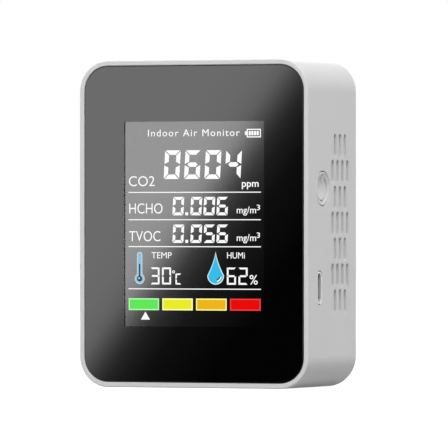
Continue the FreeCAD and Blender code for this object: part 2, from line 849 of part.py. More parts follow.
def board_components():
    """Chip capacitors on three sides of the controller, its crystal, and the charging chip with its coil."""
    x, z = size("chip_x"), size("chip_z")
    pitch, offset = size("capacitor_pitch"), size("capacitor_offset")
    spots = [(x + offset * side, z + pitch * k) for side in (-1, 1) for k in (-1, 0, 1, 2)]
    near = offset * 3 / 4
    spots += [(x + pitch * k, z - near) for k in (-1, 0, 1)]
    width, thickness, height = (size("capacitor_" + side) for side in ("width", "thickness", "height"))
    made = [block(spot_x, board_rear, spot_z, width, thickness, height) for spot_x, spot_z in spots]
    coil = size("coil_size")
    made.append(block(size("coil_x"), board_rear, size("coil_z"), coil, size("coil_thickness"), coil))
    width, thickness, height = (size("charger_" + side) for side in ("width", "thickness", "height"))
    made.append(block(size("coil_x"), board_rear, size("coil_z") - coil - pitch, width, thickness, height))
    width, thickness, height = (size("crystal_" + side) for side in ("width", "thickness", "height"))
    made.append(block(x, board_rear, z + near, width, thickness, height))
    keep(group(*made), "board_components")


def gas_sensor():
    """The gas sensor: a round header, a metal can with an open top, and a mesh disc inside its mouth."""
    x, z, base_height = size("gas_x"), size("gas_z"), size("gas_base_height")
    keep(rod(x, board_rear, z, size("gas_diameter"), base_height, "y"), "gas_sensor_base")
    wall, height = size("gas_wall"), size("gas_height")
    outside, inside = size("gas_diameter") - wall, size("gas_diameter") - wall * 3
    start = board_rear + base_height
    can = rod(x, start, z, outside, height, "y")
    hollow = rod(x, start, z, inside, height - wall, "y")
    mouth = rod(x, start, z, size("gas_screen"), height, "y")
    keep(cut(can, fuse(hollow, mouth)), "gas_sensor_can")
    keep(rod(x, start + height - wall * 2, z, inside, wall, "y"), "gas_sensor_screen")


def climate_sensor():
    """The temperature and humidity sensor, a small square package with a round port."""
    x, z, side, height = size("climate_x"), size("climate_z"), size("climate_size"), size("climate_height")
    body = block(x, board_rear, z, side, height, side)
    port = rod(x, board_rear + height / 2, z, size("climate_port"), height, "y")
    keep(cut(body, port), "climate_sensor")


def buzzer():
    """A round buzzer with its sound hole on top."""
    x, z, height = size("buzzer_x"), size("buzzer_z"), size("buzzer_height")
    body = rod(x, board_rear, z, size("buzzer_diameter"), height, "y")
    hole = rod(x, board_rear + height / 2, z, size("buzzer_hole"), height, "y")
    keep(cut(body, hole), "buzzer")


def co2_sensor():
    """The optical carbon dioxide sensor: its board on pins, a gas chamber and two filters in its ports."""
    x, z = size("co2_x"), size("co2_z")
    board_y = board_rear + size("co2_lift")
    width, height, thickness = size("co2_board_width"), size("co2_board_height"), size("co2_board_thickness")
    keep(block(x, board_y, z, width, thickness, height), "co2_sensor_board")
    chamber_y, chamber_depth = board_y + thickness, size("co2_chamber_thickness")
    chamber = block(x, chamber_y, z, size("co2_chamber_width"), chamber_depth, size("co2_chamber_height"))
    port_y = chamber_y + chamber_depth - size("co2_vent_depth")
    spread, bore = size("co2_chamber_width") / 4, size("co2_vent")
    ports = [rod(x + spread * side, port_y, z, bore, size("co2_vent_depth"), "y") for side in (-1, 1)]
    keep(cut(chamber, fuse(*ports)), "co2_sensor_chamber")
    disc, thin = bore - size("lens_gap"), size("co2_filter_thickness")
    filters = [rod(x + spread * side, port_y, z, disc, thin, "y") for side in (-1, 1)]
    keep(group(*filters), "co2_sensor_filters")
    pin, reach = size("header_pin"), width / 2 - size("header_pin") * 2
    rows = [size("header_pitch") * k for k in (-1.5, -0.5, 0.5, 1.5)]
    spots = [(x + reach * side, z + row) for side in (-1, 1) for row in rows]
    pins = [block(pin_x, board_rear, pin_z, pin, size("co2_lift"), pin) for pin_x, pin_z in spots]
    keep(group(*pins), "co2_sensor_pins")


# ---- the push button and its switch ----
def hollow_face(body, face, width, deep, y, z):
    """Turns a hollow that is part of a sphere into a body's face at one place along X."""
    half = width / 2
    ball = (half * half + deep * deep) / (deep * 2)
    radius = float(ball)
    sketch = sketch_at(body, "XY_Plane", face - deep + ball, y, z)
    circle = Part.Circle(Vector(0, 0, 0), Vector(0, 0, 1), radius)
    sketch.addGeometry(Part.ArcOfCircle(circle, math.pi / 2, math.pi))
    sketch.addGeometry(Part.LineSegment(Vector(-radius, 0, 0), Vector(0, 0, 0)))
    sketch.addGeometry(Part.LineSegment(Vector(0, 0, 0), Vector(0, radius, 0)))
    arc, axis, upright, origin = 0, 1, 2, -1
    joined = ((arc, 2, axis, 1), (axis, 2, upright, 1), (upright, 2, arc, 1), (arc, 3, origin, 1))
    for first, first_end, second, second_end in joined + ((axis, 2, origin, 1),):
        sketch.addConstraint(Sketcher.Constraint("Coincident", first, first_end, second, second_end))
    sketch.addConstraint(Sketcher.Constraint("Horizontal", axis))
    sketch.addConstraint(Sketcher.Constraint("Vertical", upright))
    drive(sketch, Sketcher.Constraint("Radius", arc, radius), "ball", ball)
    before = body.Shape.Volume
    groove = body.newObject("PartDesign::Groove", "Groove")
    groove.Profile = sketch
    groove.ReferenceAxis = (sketch, ["H_Axis"])
    body.Tip = groove
    doc.recompute()
    if body.Shape.Volume >= before:
        raise RuntimeError(f"the hollow of {body.Label} cuts nothing")


def open_ring(sketch, outer, line, gap):
    """A ring about the sketch's origin, open at the top by a gap with upright sides."""
    radii = (outer / 2, outer / 2 - line)
    half_gap = float(gap) / 2
    ends = []
    for radius in radii:
        r = float(radius)
        turn = math.asin(half_gap / r)
        circle = Part.Circle(Vector(0, 0, 0), Vector(0, 0, 1), r)
        sketch.addGeometry(Part.ArcOfCircle(circle, math.pi / 2 + turn, 2.5 * math.pi - turn))
        ends.append([Vector(-half_gap, r * math.cos(turn), 0), Vector(half_gap, r * math.cos(turn), 0)])
    for k in (0, 1):
        sketch.addGeometry(Part.LineSegment(ends[0][k], ends[1][k]))
    large, small, left, right, origin = 0, 1, 2, 3, -1
    joined = ((large, 1, left, 1), (small, 1, left, 2), (large, 2, right, 1), (small, 2, right, 2))
    for first, first_end, second, second_end in joined + ((large, 3, origin, 1), (small, 3, origin, 1)):
        sketch.addConstraint(Sketcher.Constraint("Coincident", first, first_end, second, second_end))
    sketch.addConstraint(Sketcher.Constraint("Vertical", left))
    sketch.addConstraint(Sketcher.Constraint("Vertical", right))
    sketch.addConstraint(Sketcher.Constraint("Symmetric", large, 1, large, 2, -2))
    across = Sketcher.Constraint("DistanceX", large, 1, large, 2, 2 * half_gap)
    drive(sketch, across, "gap", gap)
    drive(sketch, Sketcher.Constraint("Radius", large, float(radii[0])), "outer", radii[0])
    drive(sketch, Sketcher.Constraint("Radius", small, float(radii[1])), "inner", radii[1])


def power_button():
    """A round cap with a hollowed face and a sunk power symbol, the flange that stops it, and a stem."""
    x_face = half_width - size("lens_sunk")
    x_flange = wall_inside - size("button_stop_gap")
    x_stem = switch_face + size("plunger_reach") + size("button_play")
    body = new_body("power_button")
    y, z = size("button_y"), size("button_z")
    discs = (
        (x_stem, button_back, size("button_stem")),
        (button_back, x_flange, size("button_flange")),
        (x_flange, x_face, size("button_diameter")),
    )
    for start, end, diameter in discs:
        sketch = sketch_at(body, "YZ_Plane", start, y, z)
        circle_in(sketch, diameter)
        pad(body, sketch, end - start)
    edge_round = size("button_edge_round")
    fillet(body, circle_on_plane("x", x_face, size("button_diameter") / 2), edge_round)
    hollow_face(body, x_face, size("button_diameter") - edge_round * 4, size("button_dish"), y, z)
    # the symbol is an open ring and an upright bar, both cut to one depth
    line = size("symbol_line")
    ring = sketch_at(body, "YZ_Plane", x_face, y, z)
    open_ring(ring, size("symbol_diameter"), line, size("symbol_gap"))
    pocket(body, ring, size("symbol_floor"))
    bar = sketch_at(body, "YZ_Plane", x_face, y, z + size("symbol_bar_lift"))
    rounded_rectangle(bar, line, size("symbol_bar"), line / 4)
    pocket(body, bar, size("symbol_floor"))


def tactile_switch():
    """The switch that the button presses, lying on the board with its plunger pointing at the wall."""
    y, z = size("button_y"), size("button_z")
    length, bore = size("switch_length"), size("plunger_diameter") + size("plunger_clearance") * 2
    body = block(switch_face - length / 2, board_rear, z, length, size("switch_height"), size("switch_width"))
    deep = size("plunger_inside") + size("contact_pitch")
    keep(cut(body, rod(switch_face - deep, y, z, bore, deep, "x")), "switch_body")
    inside = size("plunger_inside")
    plunger = rod(switch_face - inside, y, z, size("plunger_diameter"), inside + size("plunger_reach"), "x")
    keep(plunger, "switch_plunger")


# ---- the USB-C socket ----
# contacts on each face of the tongue
USB_CONTACTS = 12


def usb_socket():
    """A USB-C socket on the board: a drawn metal shell, and a tongue with twelve contacts on each face."""
    y, z, wall = size("usb_y"), size("usb_z"), size("usb_wall")
    mouth = half_width - size("usb_sunk")
    start = mouth - size("usb_length")
    shell = new_body("usb_shell")
    outline = sketch_at(shell, "YZ_Plane", start, y, z)
    upright_slot(outline, size("usb_height"), size("usb_width"))
    pad(shell, outline, size("usb_length"))
    inside = sketch_at(shell, "YZ_Plane", mouth, y, z)
    upright_slot(inside, size("usb_height") - wall * 2, size("usb_width") - wall * 2)
    pocket(shell, inside, size("usb_length") - size("usb_floor"))
    tongue = new_body("usb_tongue")
    floor_x = start + size("usb_floor")
    profile = sketch_at(tongue, "YZ_Plane", floor_x, y, z)
    rounded_rectangle(profile, size("tongue_height"), size("tongue_width"), size("contact_proud"))
    pad(tongue, profile, size("tongue_length"))
    proud, width, reach = size("contact_proud"), size("contact_width"), size("contact_length")
    half_tongue = size("tongue_height") / 2
    contacts = []
    for k in range(USB_CONTACTS):
        contact_z = z + size("contact_pitch") * (k - (USB_CONTACTS - 1) / 2)
        for face_y in (y - half_tongue - proud, y + half_tongue):
            contacts.append(block(floor_x + reach / 2, face_y, contact_z, reach, proud, width))
    keep(group(*contacts), "usb_contacts")


# ---- the battery and its leads ----
def battery():
    """A pouch cell stuck to the rear cover with a foam pad, and the folded end where its tabs come out."""
    x, z, width, height = size("battery_x"), size("battery_z"), size("battery_width"), size("battery_height")
    rear = cover_front - size("pad_thickness")
    front = rear - size("battery_thickness")
    cell = new_body("battery_cell")
    outline = sketch_at(cell, "XZ_Plane", x, front, z)
    rounded_rectangle(outline, width, height, size("battery_round"))
    pad(cell, outline, size("battery_thickness"), reversed_=True)
    fillet(cell, lambda edge: on_plane("y", front)(edge) or on_plane("y", rear)(edge), size("battery_round"))
    margin = size("pad_inset") * 2
    keep(block(x, rear, z, width - margin, size("pad_thickness"), height - margin), "battery_pad")
    fold, thin = size("battery_fold"), size("battery_fold_thickness")
    fold_width = width - size("battery_fold_inset") * 2
    keep(block(x, front + thin, z + (height + fold) / 2, fold_width, thin, fold), "battery_terminal_fold")


def battery_leads():
    """Two insulated leads: up from the battery, forward over the sensor and down into the plug."""
    radius = float(size("lead_diameter")) / 2
    battery_top = float(size("battery_z") + size("battery_height") / 2 + size("battery_fold"))
    fold_middle = size("battery_fold_thickness") * 3 / 2
    y_battery = float(cover_front - size("pad_thickness") - size("battery_thickness") + fold_middle)
    y_plug = float(board_rear + size("socket_height") / 2)
    plug_top = float(size("socket_z") + size("socket_length"))
    top = float(size("lead_top"))
    for name, side in (("battery_lead_red", -1), ("battery_lead_black", 1)):
        x_battery = float(size("lead_x") + size("lead_pitch") / 2 * side)
        x_plug = float(size("socket_x") + size("lead_pitch") / 2 * side)
        route = [
            Vector(x_battery, y_battery, battery_top),
            Vector(x_battery, y_battery, top),
            Vector(x_plug, y_plug, top),
            Vector(x_plug, y_plug, plug_top),
        ]
        lead = doc.addObject("Part::Feature", "Lead")
        lead.Shape = tube(route, radius)
        keep(lead, name)


# the share of a run that the bend at its end takes
BEND_SHARE = 0.45
# how far a lead's volume may be from its section times its length
VOLUME_TOLERANCE = 0.01


def tube(route, radius):
    """A round tube along straight runs joined by tangent arcs, each as large as its two runs allow."""
    edges = []
    at = route[0]
    for before, corner, after in zip(route, route[1:], route[2:]):
        back, ahead = before - corner, after - corner
        reach = BEND_SHARE * min(back.Length, ahead.Length)
        back.normalize()
        ahead.normalize()
        half_turn = (math.pi - back.getAngle(ahead)) / 2
        start, end = corner + back * reach, corner + ahead * reach
        inward = back + ahead
        inward.normalize()
        rise = reach / math.tan(half_turn) * (1 - math.cos(half_turn))
        crown = (start + end) / 2 - inward * rise
        edges.append(Part.LineSegment(at, start).toShape())
        edges.append(Part.Arc(start, crown, end).toShape())
        at = end
    edges.append(Part.LineSegment(at, route[-1]).toShape())
    path = Part.Wire(edges)
    section = Part.Wire([Part.Circle(route[0], route[1] - route[0], radius).toShape()])
    shape = path.makePipeShell([section], True, True)
    expected = math.pi * radius**2 * path.Length
    if abs(shape.Volume - expected) > VOLUME_TOLERANCE * expected:
        raise RuntimeError(f"a lead has {shape.Volume:.2f} mm3 and not {expected:.2f}")
    return shape


def battery_connector():
    """The battery's plug in its socket on the board, open at the top where the leads go in."""
    x, z, wall = size("socket_x"), size("socket_z"), size("socket_wall")
    width, height, length = size("socket_width"), size("socket_height"), size("socket_length")
    floor_z = z - length / 2 + wall * 2
    body = block(x, board_rear, z, width, height, length)
    inside = block(x, board_rear + wall, floor_z + length / 2, width - wall * 2, height - wall * 2, length)
    keep(cut(body, inside), "battery_socket")
    skin = wall + size("lens_gap")
    bottom, top = floor_z + size("lens_gap"), z + length
    plug_z, plug_length = (bottom + top) / 2, top - bottom
    plug = block(x, board_rear + skin, plug_z, width - skin * 2, height - skin * 2, plug_length)
    keep(plug, "battery_plug")


def check_and_write():
    """Stops if an object failed or a sub-part isn't a valid solid, then writes a STEP file per sub-part."""
    doc.recompute()
    failed = [thing.Label for thing in doc.Objects if {"Invalid", "Error"} & set(thing.State)]
    if failed:
        raise RuntimeError(f"these objects failed: {failed}")
    os.makedirs("parts", exist_ok=True)
    for thing in subparts:
        shape = thing.Shape
        if shape.isNull() or not shape.isValid() or not shape.Solids:
            raise RuntimeError(f"{thing.Label} isn't a valid solid")
        shape.exportStep(os.path.join("parts", thing.Label + ".step"))
        print(f"{thing.Label}: {len(shape.Solids)} solids, {shape.Volume:.1f} mm3")


main_housing()
back_cover()
front_lens()
lens_ink()
lens_tape()
display()
lcd_flex()
main_board()
controller_chip()
board_components()
gas_sensor()
climate_sensor()
buzzer()
co2_sensor()
power_button()
tactile_switch()
usb_socket()
battery()
battery_connector()
battery_leads()
screws()
check_and_write()
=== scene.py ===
"""The looks of the air quality monitor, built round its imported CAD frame.

Metres, +Z up, the front faces -Y.
"""

import json
import math
from dataclasses import dataclass

import bmesh
import bpy
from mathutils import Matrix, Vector


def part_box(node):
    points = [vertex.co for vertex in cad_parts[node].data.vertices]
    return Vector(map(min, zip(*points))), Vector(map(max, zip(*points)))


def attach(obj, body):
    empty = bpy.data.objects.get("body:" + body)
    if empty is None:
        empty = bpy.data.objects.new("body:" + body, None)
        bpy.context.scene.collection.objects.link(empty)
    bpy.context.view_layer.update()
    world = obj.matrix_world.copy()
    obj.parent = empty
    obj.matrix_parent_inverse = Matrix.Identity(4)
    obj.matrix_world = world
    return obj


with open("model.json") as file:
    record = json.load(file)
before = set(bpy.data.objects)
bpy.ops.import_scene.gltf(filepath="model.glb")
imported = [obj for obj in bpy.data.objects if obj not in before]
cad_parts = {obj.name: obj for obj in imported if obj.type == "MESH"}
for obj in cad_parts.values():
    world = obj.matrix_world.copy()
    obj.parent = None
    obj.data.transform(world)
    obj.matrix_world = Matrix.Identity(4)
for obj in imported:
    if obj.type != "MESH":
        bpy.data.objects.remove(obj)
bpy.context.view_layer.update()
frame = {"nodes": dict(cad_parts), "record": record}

MM = 0.001
scene = bpy.context.scene

# ---- places taken from the frame ----
case_low, case_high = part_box("main_housing")
lens_low, lens_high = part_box("front_lens")
ink_low, ink_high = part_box("lens_ink")
glass_low, glass_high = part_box("lcd_glass")
CENTRE = (case_low + case_high) / 2
LENS_FRONT = lens_low.y
DISPLAY_CENTRE = (glass_low + glass_high) / 2
# the clear window of the lens is the display's active area
WINDOW_WIDTH, WINDOW_HEIGHT = 43.2 * MM, 57.6 * MM

# the display's picture stands in the gap between the lens's print and the display's glass
GAP = glass_low.y - ink_high.y
PICTURE_BACK = glass_low.y - 0.15 * GAP
PICTURE_THICKNESS = 0.25 * GAP
# its icons are built up in thinner layers
LAYER_THICKNESS = 0.1 * GAP
LAYER_STEP = 0.15 * GAP

# ---- camera: level with the object's middle, to the right of its front ----
VIEW_AZIMUTH = math.radians(23.5)
VIEW_DISTANCE = 1.8
# how far to the right of the object's middle the camera aims
VIEW_ASIDE = 1.6 * MM
# the lens and the sensor's width, in the millimetres of Blender's own camera
VIEW_LENS = 511.2
VIEW_SENSOR = 36
VIEW_NEAR, VIEW_FAR = 0.1, 20


def direction(azimuth, elevation=0.0):
    """The unit vector from the object towards a viewer."""
    level = math.cos(elevation)
    return Vector((math.sin(azimuth) * level, -math.cos(azimuth) * level, math.sin(elevation)))


def point_at(thing, position, target):
    """Puts a camera or a light at a position, facing a target."""
    thing.location = position
    thing.rotation_mode = "QUATERNION"
    thing.rotation_quaternion = (Vector(target) - Vector(position)).to_track_quat("-Z", "Y")


def make_camera():
    """The camera, at the object's middle height."""
    data = bpy.data.cameras.new("camera")
    data.lens = VIEW_LENS
    data.sensor_width = VIEW_SENSOR
    data.clip_start, data.clip_end = VIEW_NEAR, VIEW_FAR
    camera = bpy.data.objects.new("camera", data)
    scene.collection.objects.link(camera)
    towards = direction(VIEW_AZIMUTH)
    right = Vector((math.cos(VIEW_AZIMUTH), math.sin(VIEW_AZIMUTH), 0))
    aim = CENTRE + right * VIEW_ASIDE
    point_at(camera, aim + towards * VIEW_DISTANCE, aim)
    scene.camera = camera


# ---- material building blocks ----
# most of a noise's values lie between these two
NOISE_LOW, NOISE_HIGH = 0.3, 0.7
# the noise's detail in a surface's colour, and in its grain
BROAD_DETAIL, FINE_DETAIL = 3.0, 2.0
# a worked surface's mottling is this much coarser than its grain, and its gloss varies by this share
BROAD_SHARE = 0.06
GLOSS_VARIES = 0.15
# refractive indices
PLASTIC_IOR = 1.47
CASE_IOR = 1.5
ACRYLIC_IOR = 1.515
POLARISER_IOR = 1.84
LIT_IOR = 1.05


def new_material(name):
    """A material with one principled shader, and that shader."""
    material = bpy.data.materials.new(name)
    material.use_nodes = True
    nodes, links = material.node_tree.nodes, material.node_tree.links
    nodes.clear()
    shader = nodes.new("ShaderNodeBsdfPrincipled")
    output = nodes.new("ShaderNodeOutputMaterial")
    links.new(shader.outputs["BSDF"], output.inputs["Surface"])
    return material, shader


def noise(material, per_mm, detail=FINE_DETAIL):
    """Noise fixed to the object, with so many features to the millimetre."""
    nodes, links = material.node_tree.nodes, material.node_tree.links
    place = nodes.new("ShaderNodeTexCoord")
    texture = nodes.new("ShaderNodeTexNoise")
    texture.inputs["Scale"].default_value = per_mm / MM
    texture.inputs["Detail"].default_value = detail
    links.new(place.outputs["Object"], texture.inputs["Vector"])
    return texture.outputs["Fac"]


def between(material, factor, low, high):
    """Maps a noise's middle range to a range of values."""
    nodes, links = material.node_tree.nodes, material.node_tree.links
    spread = nodes.new("ShaderNodeMapRange")
    spread.inputs["From Min"].default_value = NOISE_LOW
    spread.inputs["From Max"].default_value = NOISE_HIGH
    spread.inputs["To Min"].default_value = low
    spread.inputs["To Max"].default_value = high
    links.new(factor, spread.inputs["Value"])
    return spread.outputs["Result"]


def blend_colours(material, factor, first, second):
    """A colour that goes from the first to the second as a factor rises."""
    nodes, links = material.node_tree.nodes, material.node_tree.links
    mix = nodes.new("ShaderNodeMix")
    mix.data_type = "RGBA"
    mix.inputs["A"].default_value = (*first, 1)
    mix.inputs["B"].default_value = (*second, 1)
    links.new(factor, mix.inputs["Factor"])
    return mix.outputs["Result"]


def grain(material, shader, factor, depth):
    """Lets a factor raise and sink the surface, by a depth in metres."""
    nodes, links = material.node_tree.nodes, material.node_tree.links
    bump = nodes.new("ShaderNodeBump")
    bump.inputs["Strength"].default_value = 1.0
    bump.inputs["Distance"].default_value = depth
    links.new(factor, bump.inputs["Height"])
    links.new(bump.outputs["Normal"], shader.inputs["Normal"])


def shade(colour, factor):
    """A colour made lighter or darker."""
    return tuple(min(1.0, c * factor) for c in colour)


def worked_surface(name, colour, roughness, per_mm, depth, vary, metallic=0.0):
    """A surface whose colour, gloss and grain vary a little.

    The grain has so many features to the millimetre, and a depth in millimetres.
    """
    material, shader = new_material(name)
    links = material.node_tree.links
    shader.inputs["Metallic"].default_value = metallic
    shader.inputs["IOR"].default_value = PLASTIC_IOR
    fine = noise(material, per_mm)
    mottle = between(material, noise(material, per_mm * BROAD_SHARE, BROAD_DETAIL), 0.0, 1.0)
    tint = blend_colours(material, mottle, shade(colour, 1 - vary), shade(colour, 1 + vary))
    links.new(tint, shader.inputs["Base Color"])
    gloss = between(material, fine, roughness * (1 - GLOSS_VARIES), roughness * (1 + GLOSS_VARIES))
    links.new(gloss, shader.inputs["Roughness"])
    grain(material, shader, fine, depth * MM)
    return material


# the unlit colour of the display's picture, as shares of its lit colour, and its roughness
LIT_BASE = (0.04, 0.06)
LIT_ROUGHNESS = (0.45, 0.55)
LIT_CELLS_PER_MM = 6.0


def lit_material(name, colour, strength):
    """A part of the display's picture: it shines from inside the display, so it has hardly any gloss."""
    material, shader = new_material(name)
    links = material.node_tree.links
    shader.inputs["Emission Color"].default_value = (*colour, 1)
    shader.inputs["Emission Strength"].default_value = strength
    shader.inputs["IOR"].default_value = LIT_IOR
    cells = noise(material, LIT_CELLS_PER_MM, 0.0)
    tint = blend_colours(material, cells, *(shade(colour, level) for level in LIT_BASE))
    links.new(tint, shader.inputs["Base Color"])
    links.new(between(material, cells, *LIT_ROUGHNESS), shader.inputs["Roughness"])
    return material


# ---- materials of the case ----
CASE_MOTTLE_PER_MM, CASE_GRAIN_PER_MM = 0.05, 5.0
CASE_MOTTLE = (0.985, 1.01)
CASE_ROUGHNESS = (0.36, 0.48)
CASE_GRAIN_DEPTH = 0.004 * MM


def case_plastic(name, colour):
    """Satin white moulded plastic, with the fine even texture of an eroded mould."""
    material, shader = new_material(name)
    links = material.node_tree.links
    shader.inputs["IOR"].default_value = CASE_IOR
    texture = noise(material, CASE_GRAIN_PER_MM)
    mottle = between(material, noise(material, CASE_MOTTLE_PER_MM, BROAD_DETAIL), 0.0, 1.0)
    tint = blend_colours(material, mottle, *(shade(colour, level) for level in CASE_MOTTLE))
    links.new(tint, shader.inputs["Base Color"])
    links.new(between(material, texture, *CASE_ROUGHNESS), shader.inputs["Roughness"])
    grain(material, shader, texture, CASE_GRAIN_DEPTH)
    return material


def window_mask(material):
    """1 on the front of the lens's printed border, and 0 in its window and behind."""
    nodes, links = material.node_tree.nodes, material.node_tree.links
    place, split = nodes.new("ShaderNodeTexCoord"), nodes.new("ShaderNodeSeparateXYZ")
    links.new(place.outputs["Object"], split.inputs["Vector"])
    sides = []
    for axis, centre, half in (("X", CENTRE.x, WINDOW_WIDTH / 2), ("Z", CENTRE.z, WINDOW_HEIGHT / 2)):
        offset, length, beyond = (nodes.new("ShaderNodeMath") for _ in range(3))
        offset.operation, length.operation, beyond.operation = "SUBTRACT", "ABSOLUTE", "GREATER_THAN"
        offset.inputs[1].default_value = centre
        beyond.inputs[1].default_value = half
        links.new(split.outputs[axis], offset.inputs[0])
        links.new(offset.outputs[0], length.inputs[0])
        links.new(length.outputs[0], beyond.inputs[0])
        sides.append(beyond.outputs[0])
    either, front, outside, border, mask = (nodes.new("ShaderNodeMath") for _ in range(5))
    either.operation = "MAXIMUM"
    links.new(sides[0], either.inputs[0])
    links.new(sides[1], either.inputs[1])
    front.operation = "LESS_THAN"
    front.inputs[1].default_value = (lens_low.y + lens_high.y) / 2
    links.new(split.outputs["Y"], front.inputs[0])
    # light that the display mirrors gets out through the border, as it would past a thin print
    outside.operation = "SUBTRACT"
    outside.inputs[0].default_value = 1
    links.new(nodes.new("ShaderNodeNewGeometry").outputs["Backfacing"], outside.inputs[1])
    for product, first, second in ((border, either, front), (mask, border, outside)):
        product.operation = "MULTIPLY"
        links.new(first.outputs[0], product.inputs[0])
        links.new(second.outputs[0], product.inputs[1])
    return mask.outputs[0]


# the two blacks of the glossy sheets, the haze that blends them, and its roughness
DEEP_BLACK, SOFT_BLACK = (0.0004, 0.0004, 0.0005), (0.0008, 0.0008, 0.0009)
HAZE_PER_MM = 0.08
MIRROR_ROUGHNESS = (0.01, 0.03)


def black_mirror(name, ior):
    """A glossy black sheet that mirrors what stands in front of it."""
    material, shader = new_material(name)
    links = material.node_tree.links
    shader.inputs["IOR"].default_value = ior
    haze = noise(material, HAZE_PER_MM)
    links.new(blend_colours(material, haze, DEEP_BLACK, SOFT_BLACK), shader.inputs["Base Color"])
    links.new(between(material, haze, *MIRROR_ROUGHNESS), shader.inputs["Roughness"])
    return material, shader


def lens_acrylic():
    """An acrylic sheet that is black where it is printed behind, and clear in its window."""
    material, shader = black_mirror("lens_acrylic", ACRYLIC_IOR)
    material.node_tree.links.new(window_mask(material), shader.inputs["Alpha"])
    return material


def lens_print():
    """The glossy black print behind the lens."""
    return black_mirror("lens_print", ACRYLIC_IOR)[0]


def display_glass():
    """The display's front glass with its polariser: black, and a stronger mirror than the print round it."""
    return black_mirror("display_glass", POLARISER_IOR)[0]


# the woven mesh: how close its wires are, how far they stand up, and how they differ from their gaps, whose
# near-black colour is painted shade for the openings between the wires
WIRES_PER_MM = 1.2
WIRE_DEPTH = 0.05 * MM
WIRE_GAP_SHADE_COLOUR, WIRE_COLOUR = (0.03, 0.03, 0.03), (0.5, 0.5, 0.5)
WIRE_GAP_ROUGHNESS, WIRE_ROUGHNESS = 0.6, 0.35


def woven_mesh():
    """Fine square-woven steel wire, with painted shade in the gaps between the wires."""
    material, shader = new_material("woven_mesh")
    nodes, links = material.node_tree.nodes, material.node_tree.links
    shader.inputs["Metallic"].default_value = 1.0
    place = nodes.new("ShaderNodeTexCoord")
    heights = []
    for axis in ("X", "Z"):
        wires = nodes.new("ShaderNodeTexWave")
        wires.bands_direction = axis
        wires.inputs["Scale"].default_value = WIRES_PER_MM / MM
        links.new(place.outputs["Object"], wires.inputs["Vector"])
        heights.append(wires.outputs["Fac"])
    higher = nodes.new("ShaderNodeMath")
    higher.operation = "MAXIMUM"
    links.new(heights[0], higher.inputs[0])
    links.new(heights[1], higher.inputs[1])
    weave = higher.outputs[0]
    # painted shade: the gaps between the wires are coloured near-black, as the openings look in shade
    links.new(blend_colours(material, weave, WIRE_GAP_SHADE_COLOUR, WIRE_COLOUR), shader.inputs["Base Color"])
    links.new(between(material, weave, WIRE_GAP_ROUGHNESS, WIRE_ROUGHNESS), shader.inputs["Roughness"])
    grain(material, shader, weave, WIRE_DEPTH)
    return material


# the tracks' cells to the millimetre, how wide a track is in its cell, and how far it stands up
TRACKS_PER_MM = 0.25
TRACK_WIDTH = 0.06
TRACK_DEPTH = 0.02 * MM
# how much lighter every other cell is, and the board's gloss
CELL_LIGHTER = 1.15
BOARD_GRAIN_PER_MM = 2.0
BOARD_ROUGHNESS = (0.28, 0.4)


def board_with_tracks(name, mask, copper):
    """A circuit board: solder mask over tracks that show as slightly lighter, raised lines."""
    material, shader = new_material(name)
    nodes, links = material.node_tree.nodes, material.node_tree.links
    place = nodes.new("ShaderNodeTexCoord")
    cells = nodes.new("ShaderNodeTexBrick")
    cells.inputs["Scale"].default_value = TRACKS_PER_MM / MM
    cells.inputs["Mortar Size"].default_value = TRACK_WIDTH
    cells.inputs["Color1"].default_value = (*mask, 1)
    cells.inputs["Color2"].default_value = (*shade(mask, CELL_LIGHTER), 1)
    cells.inputs["Mortar"].default_value = (*copper, 1)
    turn = nodes.new("ShaderNodeMapping")
    turn.inputs["Rotation"].default_value = (math.pi / 2, 0, 0)
    links.new(place.outputs["Object"], turn.inputs["Vector"])
    links.new(turn.outputs["Vector"], cells.inputs["Vector"])
    links.new(cells.outputs["Color"], shader.inputs["Base Color"])
    fine = noise(material, BOARD_GRAIN_PER_MM)
    links.new(between(material, fine, *BOARD_ROUGHNESS), shader.inputs["Roughness"])
    grain(material, shader, cells.outputs["Fac"], TRACK_DEPTH)
    return material


METAL = 1.0
